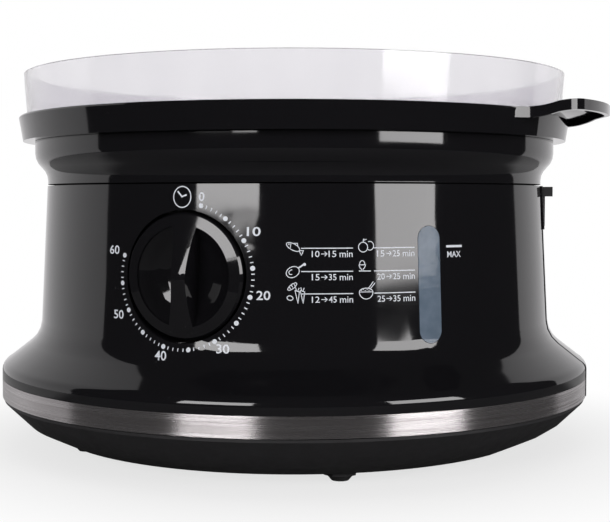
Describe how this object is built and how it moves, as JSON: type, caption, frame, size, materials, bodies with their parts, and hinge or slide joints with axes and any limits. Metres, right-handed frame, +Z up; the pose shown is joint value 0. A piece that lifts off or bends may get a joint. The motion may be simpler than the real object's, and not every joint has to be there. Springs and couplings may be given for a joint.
{
  "type": "electric food steamer",
  "caption": "Round electric food steamer base with a rotary timer, water gauge, steel band, eared drip tray and an open translucent steam bowl.",
  "frame": {"origin": "on the surface that the feet stand on, under the axis of the round body", "axes": "+Z up along the body's axis, -Y to the front, +X to the right through a tray handle"},
  "size_m": [0.28, 0.2603, 0.161],
  "materials": {
    "gloss_black": "polished black ABS",
    "matte_black": "fine spark texture",
    "brushed_steel": "brushed round the body",
    "clear_plastic": "clear smoke-blue window",
    "clear_bowl": "translucent food plastic",
    "seal_rubber": "silicone",
    "foot_rubber": "soft rubber",
    "heater_steel": "pressed stainless steel",
    "cast_aluminium": "as cast",
    "screw_steel": "zinc plated",
    "brass_tabs": "plain",
    "dark_plastic": "moulded",
    "white_plastic": "moulded",
    "lead_cover": "insulated leads"
  },
  "bodies": {
    "base": {"front_shell": "gloss_black", "rear_cover": "gloss_black", "lower_casing": "matte_black", "trim_band": "brushed_steel", "water_tank": "gloss_black", "base_screws": "screw_steel", "water_inlet": "matte_black", "gauge_window": "clear_plastic", "gauge_gasket": "seal_rubber", "heater_plate": "heater_steel", "heater_seal": "seal_rubber", "heater_element": "cast_aluminium", "heater_clamp": "screw_steel", "clamp_screws": "screw_steel", "thermostat": "dark_plastic", "thermal_fuse": "cast_aluminium", "timer_case": "dark_plastic", "timer_bell": "screw_steel", "timer_tabs": "brass_tabs", "timer_screws": "screw_steel", "terminal_block": "white_plastic", "leads": "lead_cover", "cord_gland": "matte_black", "foot_front_left": "foot_rubber", "foot_front_right": "foot_rubber", "foot_rear_left": "foot_rubber", "foot_rear_right": "foot_rubber"},
    "knob": {"knob": "gloss_black", "knob_clip": "screw_steel", "timer_shaft": "brass_tabs"},
    "turbo_ring": {"turbo_ring": "matte_black"},
    "drip_tray": {"drip_tray": "gloss_black"},
    "steam_bowl": {"steam_bowl": "clear_bowl"},
    "bowl_grid": {"bowl_grid": "clear_bowl"}
  },
  "joints": [
    {"name": "timer_turn", "type": "hinge", "parent": "base", "child": "knob", "pos_m": [0.0115, -0.1094, 0.0783], "axis": [-0.1045, 0.9945, 0], "range_deg": [0, 282.5]},
    {"name": "turbo_ring_lift", "type": "slide", "parent": "base", "child": "turbo_ring", "axis": [0, 0, 1], "range_m": [0, 0.03]},
    {"name": "tray_lift", "type": "slide", "parent": "base", "child": "drip_tray", "axis": [0, 0, 1], "range_m": [0, 0.08]},
    {"name": "bowl_lift", "type": "slide", "parent": "drip_tray", "child": "steam_bowl", "axis": [0, 0, 1], "range_m": [0, 0.06]},
    {"name": "grid_lift", "type": "slide", "parent": "steam_bowl", "child": "bowl_grid", "axis": [0, 0, 1], "range_m": [0, 0.05]}
  ]
}
